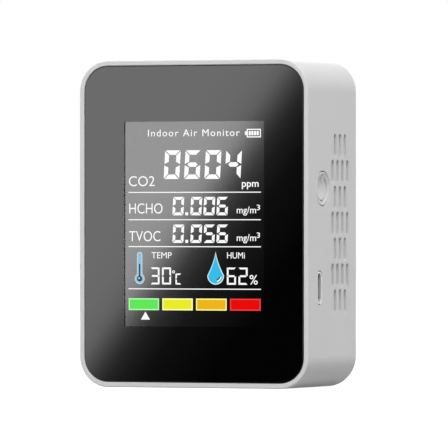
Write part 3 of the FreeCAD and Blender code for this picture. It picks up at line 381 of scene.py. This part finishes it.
# each plain slot's colour, roughness, grain features to the millimetre, grain depth in millimetres, how much
# its colour varies, and METAL if it is one
WORKED_SURFACES = {
    "tape_black": ((0.012, 0.012, 0.012), 0.6, 1.5, 0.004, 0.1),
    "display_frame": ((0.78, 0.79, 0.8), 0.45, 1.0, 0.004, 0.02),
    "display_light_guide": ((0.82, 0.83, 0.84), 0.3, 1.0, 0.002, 0.02),
    "foam_black": ((0.02, 0.02, 0.02), 0.9, 3.0, 0.05, 0.2),
    "flex_amber": ((0.42, 0.19, 0.03), 0.3, 1.0, 0.004, 0.1),
    "chip_black": ((0.02, 0.02, 0.022), 0.5, 4.0, 0.006, 0.1),
    "leads_tin": ((0.72, 0.71, 0.68), 0.35, 2.0, 0.004, 0.05, METAL),
    "component_tan": ((0.32, 0.22, 0.13), 0.5, 2.0, 0.006, 0.15),
    "sensor_can": ((0.62, 0.62, 0.6), 0.28, 2.0, 0.003, 0.04, METAL),
    "sensor_base": ((0.1, 0.05, 0.02), 0.5, 2.0, 0.004, 0.1),
    "chamber_white": ((0.68, 0.68, 0.63), 0.45, 2.0, 0.006, 0.03),
    "filter_white": ((0.75, 0.75, 0.73), 0.9, 6.0, 0.03, 0.05),
    "pins_gold": ((0.83, 0.56, 0.2), 0.25, 2.0, 0.002, 0.04, METAL),
    "usb_steel": ((0.82, 0.82, 0.82), 0.5, 2.0, 0.003, 0.03, METAL),
    "usb_black": ((0.012, 0.012, 0.012), 0.45, 3.0, 0.004, 0.1),
    "battery_foil": ((0.66, 0.67, 0.69), 0.38, 0.8, 0.03, 0.04, METAL),
    "battery_tape": ((0.5, 0.24, 0.03), 0.3, 1.0, 0.006, 0.1),
    "foam_grey": ((0.2, 0.2, 0.21), 0.9, 3.0, 0.05, 0.15),
    "connector_white": ((0.72, 0.7, 0.64), 0.4, 2.0, 0.004, 0.03),
    "lead_red": ((0.42, 0.008, 0.008), 0.42, 2.0, 0.006, 0.08),
    "lead_black": ((0.012, 0.012, 0.012), 0.42, 2.0, 0.006, 0.1),
    "screw_steel": ((0.42, 0.42, 0.43), 0.32, 3.0, 0.006, 0.08, METAL),
}


def case_materials():
    """One finish for each material slot of the frame."""
    finishes = {slot: worked_surface(slot, *values) for slot, values in WORKED_SURFACES.items()}
    finishes.update({
        "case_white": case_plastic("case_white", (0.84, 0.84, 0.845)),
        "button_white": case_plastic("button_white", (0.85, 0.85, 0.855)),
        "lens_clear": lens_acrylic(),
        "lens_ink": lens_print(),
        "display_glass": display_glass(),
        "sensor_mesh": woven_mesh(),
        "board_green": board_with_tracks("board_green", (0.008, 0.09, 0.035), (0.02, 0.16, 0.06)),
        "board_black": board_with_tracks("board_black", (0.012, 0.013, 0.015), (0.03, 0.032, 0.036)),
    })
    return finishes


def finish_nodes(materials):
    """Gives each CAD node the finish of its material slot."""
    for entry in frame["record"]["subparts"]:
        node = frame["nodes"][entry["node"]]
        for holder in node.material_slots:
            holder.material = materials[entry["material_slot"]]


# ---- the display's picture: shapes in millimetres from the display's centre ----
def on_display(u, v, y):
    """The point so far to the right of the display's centre and above it, at a Y in metres."""
    return Vector((DISPLAY_CENTRE.x + u * MM, y, DISPLAY_CENTRE.z + v * MM))


def layer_back(level):
    """The back of one of the thin layers that an icon is built up in."""
    return PICTURE_BACK - level * LAYER_STEP


def show(name, mesh, material):
    """Links a finished mesh as a piece that rides on the case."""
    mesh.materials.clear()
    mesh.materials.append(material)
    piece = bpy.data.objects.new(name, mesh)
    scene.collection.objects.link(piece)
    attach(piece, "case")


def lay_prisms(name, outlines, back, material, thickness=PICTURE_THICKNESS):
    """One piece made of thin plates with straight sides, one for each outline."""
    mesh_data = bmesh.new()
    for outline in outlines:
        rings = []
        for y in (back - thickness, back):
            rings.append([mesh_data.verts.new(on_display(u, v, y)) for u, v in outline])
        front, rear = rings
        mesh_data.faces.new(front)
        mesh_data.faces.new(rear[::-1])
        for k in range(len(front)):
            after = (k + 1) % len(front)
            mesh_data.faces.new((front[k], rear[k], rear[after], front[after]))
    bmesh.ops.recalc_face_normals(mesh_data, faces=mesh_data.faces)
    mesh = bpy.data.meshes.new(name)
    mesh_data.to_mesh(mesh)
    mesh_data.free()
    show(name, mesh, material)


def box_outline(left, right, bottom, top):
    """A rectangle by its four sides."""
    return [(left, bottom), (right, bottom), (right, top), (left, top)]


# which of its seven segments each character lights:
# top, upper right, lower right, bottom, lower left, upper left, middle
SEGMENTS = {
    "0": "1111110",
    "2": "1101101",
    "3": "1111001",
    "4": "0110011",
    "5": "1011011",
    "6": "1011111",
    "C": "1001110",
}
# the side of a square decimal point, as a share of a segment's thickness
POINT_SHARE = 1.05


@dataclass
class Digit:
    """The sizes of one kind of seven-segment digit; the slant is a share of the height."""
    width: float
    height: float
    pitch: float
    thick: float
    gap: float
    slant: float = 0.0
    point_pitch: float = 0.0


BIG_DIGIT = Digit(width=4.75, height=8.05, pitch=6.24, thick=1.25, gap=0.4, slant=0.06)
GAS_DIGIT = Digit(width=3.34, height=5.15, pitch=4.0, thick=0.8, gap=0.3, slant=0.06, point_pitch=5.5)
SMALL_DIGIT = Digit(width=2.75, height=4.8, pitch=3.55, thick=0.5, gap=0.12)
UNIT_LETTER = Digit(width=1.75, height=3.1, pitch=2.0, thick=0.42, gap=0.1)


def upright_segment(digit, side, low, high):
    """One upright segment on the left (0) or right (1) of a digit, its ends sloping inwards."""
    outer = side * digit.width
    inner = outer - (2 * side - 1) * digit.thick
    gap = digit.gap / 2
    low_cut = digit.thick if low == 0 else digit.thick / 2
    high_cut = digit.thick if high == digit.height else digit.thick / 2
    return [
        (outer, low + gap),
        (outer, high - gap),
        (inner, high - high_cut - gap),
        (inner, low + low_cut + gap),
    ]


def level_segment(digit, outer_level, inner_level):
    """The top or bottom segment of a digit, shorter on its inside."""
    gap = digit.gap / 2
    reach = digit.thick + gap
    return [
        (gap, outer_level),
        (digit.width - gap, outer_level),
        (digit.width - reach, inner_level),
        (reach, inner_level),
    ]


def middle_segment(digit):
    """The middle segment of a digit, pointed at both ends."""
    half, thick = digit.height / 2, digit.thick
    point, reach = (thick + digit.gap) / 2, thick + digit.gap / 2
    return [
        (point, half),
        (reach, half + thick / 2),
        (digit.width - reach, half + thick / 2),
        (digit.width - point, half),
        (digit.width - reach, half - thick / 2),
        (reach, half - thick / 2),
    ]


def digit_outlines(character, left, bottom, digit):
    """The lit segments of one character, mitred where they meet."""
    half, top = digit.height / 2, digit.height
    shapes = (
        level_segment(digit, top, top - digit.thick),
        upright_segment(digit, 1, half, top),
        upright_segment(digit, 1, 0, half),
        level_segment(digit, 0, digit.thick),
        upright_segment(digit, 0, 0, half),
        upright_segment(digit, 0, half, top),
        middle_segment(digit),
    )
    lit = [shape for shape, on in zip(shapes, SEGMENTS[character]) if on == "1"]
    return [[(left + x + y * digit.slant, bottom + y) for x, y in shape] for shape in lit]


def reading_outlines(text, left, bottom, digit):
    """A row of digits, with a decimal point in the wider gap where the text has one."""
    outlines = []
    x = left
    for character in text:
        if character == ".":
            size = digit.thick * POINT_SHARE
            start = x - digit.pitch + digit.width + (digit.point_pitch - digit.width - size) / 2
            outlines.append(box_outline(start, start + size, bottom, bottom + size))
            x += digit.point_pitch - digit.pitch
        else:
            outlines += digit_outlines(character, x, bottom, digit)
            x += digit.pitch
    return outlines


# for lettering of size 1: the height of its capitals, half its thickness, and the steps in its curves
CAPITAL_SHARE = 0.73
LETTER_HALF_THICKNESS = 0.02
LETTER_SMOOTHNESS = 6


def text_mesh(name, text, left, baseline, width, cap_height, bolder=0.0, spread=1.0):
    """Lettering fitted to a width and a height of its capitals, made bolder or thinner, or spread."""
    curve = bpy.data.curves.new(name, "FONT")
    curve.body = text
    curve.size = 1.0
    curve.offset = bolder
    curve.space_character = spread
    curve.extrude = LETTER_HALF_THICKNESS
    curve.resolution_u = LETTER_SMOOTHNESS
    maker = bpy.data.objects.new(name, curve)
    scene.collection.objects.link(maker)
    bpy.context.view_layer.update()
    finished = maker.evaluated_get(bpy.context.evaluated_depsgraph_get())
    mesh = bpy.data.meshes.new_from_object(finished)
    bpy.data.objects.remove(maker)
    xs = [vertex.co.x for vertex in mesh.vertices]
    across = width * MM / (max(xs) - min(xs))
    upward = cap_height * MM / CAPITAL_SHARE
    origin = on_display(left, baseline, PICTURE_BACK - PICTURE_THICKNESS / 2)
    deep = PICTURE_THICKNESS / (2 * LETTER_HALF_THICKNESS)
    start = min(xs)
    for vertex in mesh.vertices:
        x, y, z = vertex.co
        vertex.co = origin + Vector(((x - start) * across, -z * deep, y * upward))
    return mesh


def arc(centre, radius, start, end, count):
    """Points along an arc, from one angle to another in degrees."""
    angles = [math.radians(start + (end - start) * k / count) for k in range(count + 1)]
    return [(centre[0] + radius * math.cos(a), centre[1] + radius * math.sin(a)) for a in angles]


def ring_outlines(centre, outer, inner):
    """A flat ring as two halves."""
    starts = (0, 180)
    return [arc(centre, outer, a, a + 180, 8) + arc(centre, inner, a + 180, a, 8) for a in starts]


def frame_outlines(left, right, bottom, top, line):
    """A rectangular outline as four bars."""
    return [
        box_outline(left, right, top - line, top),
        box_outline(left, right, bottom, bottom + line),
        box_outline(left, left + line, bottom + line, top - line),
        box_outline(right - line, right, bottom + line, top - line),
    ]


def curved_stroke(centre, inner, outer):
    """A stroke that follows the lower right of a circle."""
    start, end = -74, -12
    return arc(centre, outer, start, end, 8) + arc(centre, inner, end, start, 8)


def thermometer_outline(centre, bulb, stem, top):
    """A bulb with a round-topped stem, by their radii and the stem's top."""
    x, z = centre
    meet = math.degrees(math.asin(stem / bulb))
    return arc((x, z), bulb, 90 + meet, 450 - meet, 28) + arc((x, top - stem), stem, 0, 180, 10)


# how a drop's side narrows towards its tip
DROP_POWER = 1.15
DROP_HOLLOW = 0.35
DROP_STEPS = 14
# how much lower the tip comes, for each millimetre that the drop's sides move in
TIP_DROPS = 2.5


def drop_outline(tip, bottom, half_width, shrink=0.0):
    """A falling drop: a half circle below, and two sides that sweep in to the tip."""
    x, top = tip
    radius = half_width - shrink
    middle = bottom + half_width
    height = top - middle - shrink * TIP_DROPS
    shares = [k / DROP_STEPS for k in range(DROP_STEPS)]
    reach = [radius * (1 - share) ** DROP_POWER * (1 - DROP_HOLLOW * share) for share in shares]
    right = [(x + across, middle + height * share) for across, share in zip(reach, shares)]
    left = [(2 * x - side, z) for side, z in right[:0:-1]]
    under = arc((x, middle), radius, 180, 360, 20)
    return right + [(x, middle + height)] + left + under[:-1]


# the left and right ends of the ruled lines, their half thickness and their heights
PAGE_LEFT, PAGE_RIGHT = -20.44, 20.12
RULE_HALF = 0.13
RULE_HEIGHTS = (8.9, 1.2, -6.36, -18.25)
# each reading's name, text, left edge, lower edge and kind of digit
READINGS = (
    ("carbon_dioxide", "0604", -9.58, 12.65, BIG_DIGIT),
    ("first_gas", "0.006", -6.92, 2.45, GAS_DIGIT),
    ("second_gas", "0.056", -6.92, -5.3, GAS_DIGIT),
    ("temperature", "30", -13.64, -17.0, SMALL_DIGIT),
    ("humidity", "62", 9.78, -17.0, SMALL_DIGIT),
)
# each label's name, text, left edge, baseline, width, capital height, and how much bolder or thinner it is
LABELS = (
    ("label_co2", "CO2", -20.34, 10.65, 7.95, 3.0, -0.006),
    ("label_hcho", "HCHO", -20.2, 2.95, 10.25, 3.05, -0.006),
    ("label_tvoc", "TVOC", -20.26, -4.85, 9.65, 3.05, -0.006),
    ("label_temperature", "TEMP", -13.34, -9.65, 6.2, 1.85, -0.002),
    ("label_humidity", "HUMi", 9.84, -9.65, 5.4, 1.85, -0.002),
    ("unit_ppm", "ppm", 14.35, 10.4, 5.1, 2.1, 0.008),
    ("first_gas_unit", "mg/m", 12.8, 3.0, 5.85, 2.0, 0.002),
    ("first_gas_power", "3", 18.85, 3.9, 1.0, 1.55, 0.004),
    ("second_gas_unit", "mg/m", 12.8, -4.75, 5.85, 2.0, 0.002),
    ("second_gas_power", "3", 18.85, -3.85, 1.0, 1.55, 0.004),
    ("percent", "%", 16.7, -16.9, 2.45, 2.8, 0.0),
)
# the heading, laid out like a label, and how much further apart its letters stand
TITLE = ("Indoor Air Monitor", -14.42, 24.65, 28.1, 2.05)
TITLE_SPREAD = 1.18
# the lower left corner of the unit's letter, and the centre and radii of its degree ring
CELSIUS_LEFT, CELSIUS_BOTTOM = -5.95, -17.0
DEGREE_CENTRE, DEGREE_OUTER, DEGREE_INNER = (-6.55, -13.45), 0.42, 0.2


def make_picture():
    """Everything that the display shows."""
    white = lit_material("picture_white", (1.0, 1.0, 1.0), 1.0)
    rules = [box_outline(PAGE_LEFT, PAGE_RIGHT, v - RULE_HALF, v + RULE_HALF) for v in RULE_HEIGHTS]
    lay_prisms("picture_rules", rules, PICTURE_BACK, white)
    make_readings(white)
    make_labels(white)
    make_battery_icon(white)
    make_thermometer()
    make_drop(white)
    make_level_bars(white)


def make_readings(white):
    """The seven-segment readings, and the sign for degrees Celsius."""
    for name, text, left, bottom, digit in READINGS:
        outlines = reading_outlines(text, left, bottom, digit)
        lay_prisms(f"picture_{name}_digits", outlines, PICTURE_BACK, white)
    celsius = digit_outlines("C", CELSIUS_LEFT, CELSIUS_BOTTOM, UNIT_LETTER)
    ring = ring_outlines(DEGREE_CENTRE, DEGREE_OUTER, DEGREE_INNER)
    lay_prisms("picture_degree", celsius + ring, PICTURE_BACK, white)


def make_labels(white):
    """The generic heading, the names of what is measured, and the units."""
    show("picture_title", text_mesh("picture_title", *TITLE, spread=TITLE_SPREAD), white)
    for name, *lettering in LABELS:
        show(f"picture_{name}", text_mesh(f"picture_{name}", *lettering), white)


def make_battery_icon(white):
    """A cell lying on its side with its terminal to the left, and four charge bars in it."""
    left, right, bottom, top = 15.85, 20.12, 24.2, 26.6
    line, terminal, terminal_inset = 0.3, 0.55, 0.7
    bar, bar_pitch, bar_inset = 0.6, 0.8, 0.6
    shapes = frame_outlines(left, right, bottom, top, line)
    shapes.append(box_outline(left - terminal, left, bottom + terminal_inset, top - terminal_inset))
    for k in range(4):
        start = left + bar_inset + k * bar_pitch
        shapes.append(box_outline(start, start + bar, bottom + bar_inset, top - bar_inset))
    lay_prisms("picture_battery_icon", shapes, PICTURE_BACK, white)


def make_thermometer():
    """A pale outline, a bluer inside, a dark column with a round foot, and a glint in the foot."""
    pale = lit_material("picture_thermometer_rim", (0.62, 0.86, 1.0), 0.78)
    blue = lit_material("picture_thermometer_blue", (0.42, 0.75, 1.0), 0.68)
    dark = worked_surface("picture_thermometer_dark", (0.01, 0.02, 0.035), 0.6, 4.0, 0.001, 0.1)
    centre, bulb, stem, top = (-17.0, -15.4), 1.52, 0.85, -7.85
    rim, foot, column, column_top = 0.3, bulb * 0.52, stem * 0.25, -11.2
    glint_centre, glint = (centre[0] - 0.1, centre[1] + 0.12), 0.28
    layers = (
        ("rim", thermometer_outline(centre, bulb, stem, top), pale),
        ("inside", thermometer_outline(centre, bulb - rim, stem - rim, top - rim), blue),
        ("column", thermometer_outline(centre, foot, column, column_top), dark),
        ("glint", arc(glint_centre, glint, 0, 360, 12)[:-1], pale),
    )
    for level, (name, outline, material) in enumerate(layers):
        piece = f"picture_thermometer_{name}"
        lay_prisms(piece, [outline], layer_back(level), material, LAYER_THICKNESS)


def make_drop(white):
    """A pale outline, a blue inside, and a curved stroke of shine with its shadow at the lower right."""
    pale = lit_material("picture_drop_rim", (0.72, 0.93, 1.0), 0.9)
    blue = lit_material("picture_drop_blue", (0.045, 0.62, 1.0), 0.79)
    dark = worked_surface("picture_drop_shadow", (0.002, 0.01, 0.03), 0.6, 4.0, 0.001, 0.1)
    tip, bottom, half_width, rim = (6.34, -7.75), -17.0, 2.55, 0.28
    centre = (tip[0], bottom + half_width)
    layers = (
        (0, "rim", drop_outline(tip, bottom, half_width), pale),
        (1, "inside", drop_outline(tip, bottom, half_width, rim), blue),
        (2, "shine", curved_stroke(centre, 1.52, 1.84), white),
        (2, "shadow", curved_stroke(centre, 1.12, 1.48), dark),
    )
    for level, name, outline, material in layers:
        lay_prisms(f"picture_drop_{name}", [outline], layer_back(level), material, LAYER_THICKNESS)


# each level's name, the colour of its bar and the colour of its outline
LEVELS = (
    ("green", (0.12, 0.77, 0.1), (0.45, 0.98, 0.45)),
    ("yellow", (0.79, 0.81, 0.02), (1.0, 1.0, 0.45)),
    ("orange", (0.81, 0.45, 0.01), (1.0, 0.93, 0.3)),
    ("red", (0.78, 0.003, 0.003), (0.82, 0.05, 0.055)),
)


def make_level_bars(white):
    """Four coloured bars, and the pointer under the first."""
    width, pitch, bottom, top, line = 9.35, 10.37, -24.25, -20.9, 0.34
    first_left = PAGE_LEFT + 0.05
    for k, (name, colour, edge_colour) in enumerate(LEVELS):
        left = first_left + pitch * k
        inside = box_outline(left + line, left + width - line, bottom + line, top - line)
        material = lit_material(f"picture_{name}", colour, 1.0)
        lay_prisms(f"picture_bar_{name}", [inside], PICTURE_BACK, material)
        edges = frame_outlines(left, left + width, bottom, top, line)
        edge_material = lit_material(f"picture_{name}_edge", edge_colour, 1.0)
        lay_prisms(f"picture_bar_{name}_edge", edges, PICTURE_BACK, edge_material)
    pointer = [(-16.58, -26.9), (-13.86, -26.9), (-15.22, -24.7)]
    lay_prisms("picture_pointer", [pointer], PICTURE_BACK, white)


# ---- studio ----
# the room's strength as fill light, and in mirror images below the horizon and above it
ROOM_FILL = 0.24
MIRRORED_LOW, MIRRORED_HIGH = 0.56, 1.55
# the heights, as sines, between which the mirrored room turns from dark to bright
HORIZON = (-0.14, -0.02)
# the floor's paper: its shade, how much that varies, how bright the camera sees it, and its half width
FLOOR_SHADE, FLOOR_VARIES, FLOOR_SEEN = 0.53, 0.01, 0.95
FLOOR_FIBRES_PER_MM = 0.02
FLOOR_ROUGHNESS = 0.9
FLOOR_REACH = 4.0
# a hair below the case, so that their faces don't coincide
FLOOR_SUNK = 0.02 * MM
# each softbox's name, azimuth, elevation, distance, size and power
SOFTBOXES = (
    ("top_softbox", -10, 75, 1.3, 1.2, 1.3),
    ("key_softbox", 35, 50, 1.5, 0.6, 12),
    ("left_softbox", -25, 25, 1.5, 0.6, 1.9),
    ("rear_softbox", 215, 18, 1.5, 0.8, 6),
)


def staged_plane(name, corners, material):
    """A flat sheet that belongs to the studio."""
    mesh = bpy.data.meshes.new(name)
    mesh.from_pydata([tuple(corner) for corner in corners], [], [(0, 1, 2, 3)])
    mesh.materials.append(material)
    plane = bpy.data.objects.new(name, mesh)
    scene.collection.objects.link(plane)
    return plane


def make_floor():
    """A sheet of white paper that the object stands on."""
    material, shader = new_material("floor_paper")
    links = material.node_tree.links
    fibres = noise(material, FLOOR_FIBRES_PER_MM, BROAD_DETAIL)
    darker, lighter = (FLOOR_SHADE - FLOOR_VARIES,) * 3, (FLOOR_SHADE + FLOOR_VARIES,) * 3
    links.new(blend_colours(material, fibres, darker, lighter), shader.inputs["Base Color"])
    shader.inputs["Roughness"].default_value = FLOOR_ROUGHNESS
    shader.inputs["Specular IOR Level"].default_value = 0.0
    # the camera sees the paper brighter than it lights the case, so that its far end stays white
    seen = material.node_tree.nodes.new("ShaderNodeLightPath")
    shader.inputs["Emission Color"].default_value = (*(FLOOR_SEEN,) * 3, 1)
    links.new(seen.outputs["Is Camera Ray"], shader.inputs["Emission Strength"])
    low, high = -FLOOR_REACH, FLOOR_REACH
    floor = staged_plane("floor", [(*corner, 0) for corner in box_outline(low, high, low, high)], material)
    floor.location.z = case_low.z - FLOOR_SUNK
    floor.visible_glossy = False


def make_world():
    """A white room: bright where the camera looks at it, dimmer as fill light and in mirror images."""
    world = bpy.data.worlds.new("room")
    world.use_nodes = True
    nodes, links = world.node_tree.nodes, world.node_tree.links
    nodes.clear()
    output = nodes.new("ShaderNodeOutputWorld")
    light_path = nodes.new("ShaderNodeLightPath")
    fill, seen, mirrored = (nodes.new("ShaderNodeBackground") for _ in range(3))
    for background in (fill, seen, mirrored):
        background.inputs["Color"].default_value = (1, 1, 1, 1)
    fill.inputs["Strength"].default_value = ROOM_FILL
    seen.inputs["Strength"].default_value = 1.0
    # in mirror images the room darkens just below the horizon, where its floor begins
    place, split = nodes.new("ShaderNodeTexCoord"), nodes.new("ShaderNodeSeparateXYZ")
    height = nodes.new("ShaderNodeMapRange")
    height.interpolation_type = "SMOOTHSTEP"
    height.inputs["From Min"].default_value, height.inputs["From Max"].default_value = HORIZON
    height.inputs["To Min"].default_value = MIRRORED_LOW
    height.inputs["To Max"].default_value = MIRRORED_HIGH
    links.new(place.outputs["Generated"], split.inputs["Vector"])
    links.new(split.outputs["Z"], height.inputs["Value"])
    links.new(height.outputs["Result"], mirrored.inputs["Strength"])
    first, second = nodes.new("ShaderNodeMixShader"), nodes.new("ShaderNodeMixShader")
    links.new(light_path.outputs["Is Glossy Ray"], first.inputs[0])
    links.new(fill.outputs[0], first.inputs[1])
    links.new(mirrored.outputs[0], first.inputs[2])
    links.new(light_path.outputs["Is Camera Ray"], second.inputs[0])
    links.new(first.outputs[0], second.inputs[1])
    links.new(seen.outputs[0], second.inputs[2])
    links.new(second.outputs[0], output.inputs["Surface"])
    scene.world = world


def area_light(name, azimuth, elevation, distance, size, power):
    """A square softbox that faces the object."""
    data = bpy.data.lights.new(name, "AREA")
    data.shape = "SQUARE"
    data.size = size
    data.energy = power
    lamp = bpy.data.objects.new(name, data)
    scene.collection.objects.link(lamp)
    towards = direction(math.radians(azimuth), math.radians(elevation))
    point_at(lamp, CENTRE + towards * distance, CENTRE)


# how far the reflected card stands in front of the lens, half its size, and its strength
CARD_DISTANCE = 0.7
CARD_HALF = 0.11
CARD_LIGHT = 3.45
# where the edge of the bright card crosses the lens, as shares of its width and height from the lower left
EDGE_HIGH = (0.94, 0.97)
EDGE_LOW = (0.039, 0.071)
# how the card darkens across its edge: millimetres from the edge's middle, and the share of its light
FADE = (
    (-25, 1.0),
    (-14, 0.96),
    (-8, 0.88),
    (-4, 0.76),
    (0, 0.51),
    (3, 0.34),
    (6, 0.21),
    (9, 0.13),
    (14, 0.07),
    (22, 0.028),
    (46, 0.004),
)


def mirrored_on_card(across, up):
    """The point of the card's plane that the camera sees mirrored at a place on the lens."""
    spot = Vector((
        lens_low.x + across * (lens_high.x - lens_low.x),
        LENS_FRONT,
        lens_low.z + up * (lens_high.z - lens_low.z),
    ))
    behind = scene.camera.location.copy()
    behind.y = 2 * LENS_FRONT - behind.y
    ray = spot - behind
    return spot + ray * (CARD_DISTANCE / -ray.y)


def make_reflection_card():
    """A card at the front left that only mirrors show: bright, with a soft slanting edge, then black."""
    high, low = mirrored_on_card(*EDGE_HIGH), mirrored_on_card(*EDGE_LOW)
    edge = (high - low).normalized()
    across = Vector((edge.z, 0, -edge.x))
    material = bpy.data.materials.new("card")
    material.use_nodes = True
    nodes, links = material.node_tree.nodes, material.node_tree.links
    nodes.clear()
    output = nodes.new("ShaderNodeOutputMaterial")
    emission = nodes.new("ShaderNodeEmission")
    place = nodes.new("ShaderNodeNewGeometry")
    offset = nodes.new("ShaderNodeVectorMath")
    offset.operation = "SUBTRACT"
    offset.inputs[1].default_value = low
    along = nodes.new("ShaderNodeVectorMath")
    along.operation = "DOT_PRODUCT"
    along.inputs[1].default_value = across
    ramp = nodes.new("ShaderNodeMapRange")
    ramp.inputs["From Min"].default_value = FADE[0][0] * MM
    ramp.inputs["From Max"].default_value = FADE[-1][0] * MM
    fade = nodes.new("ShaderNodeValToRGB")
    links.new(place.outputs["Position"], offset.inputs[0])
    links.new(offset.outputs["Vector"], along.inputs[0])
    links.new(along.outputs["Value"], ramp.inputs["Value"])
    links.new(ramp.outputs["Result"], fade.inputs["Fac"])
    links.new(fade.outputs["Color"], emission.inputs["Color"])
    emission.inputs["Strength"].default_value = CARD_LIGHT
    links.new(emission.outputs[0], output.inputs["Surface"])
    set_fade(fade.color_ramp)
    middle = mirrored_on_card(0.5, 0.5)
    low, high = -CARD_HALF, CARD_HALF
    corners = [middle + Vector((x, 0, z)) for x, z in box_outline(low, high, low, high)]
    card = staged_plane("card", corners, material)
    card.visible_camera = False
    card.visible_diffuse = False
    card.visible_shadow = False
    card.visible_transmission = False


def set_fade(ramp):
    """Writes the card's fade to a colour ramp."""
    first, last = FADE[0][0], FADE[-1][0]
    halfway = 0.5
    while len(ramp.elements) < len(FADE):
        ramp.elements.new(halfway)
    for element, (place, level) in zip(ramp.elements, FADE):
        element.position = (place - first) / (last - first)
        element.color = (level, level, level, 1)


def light_studio():
    """The room, the floor, the softboxes and the card that the lens mirrors."""
    make_world()
    make_floor()
    for softbox in SOFTBOXES:
        area_light(*softbox)
    make_reflection_card()
    scene.view_settings.view_transform = "Standard"


make_camera()
finish_nodes(case_materials())
make_picture()
light_studio()
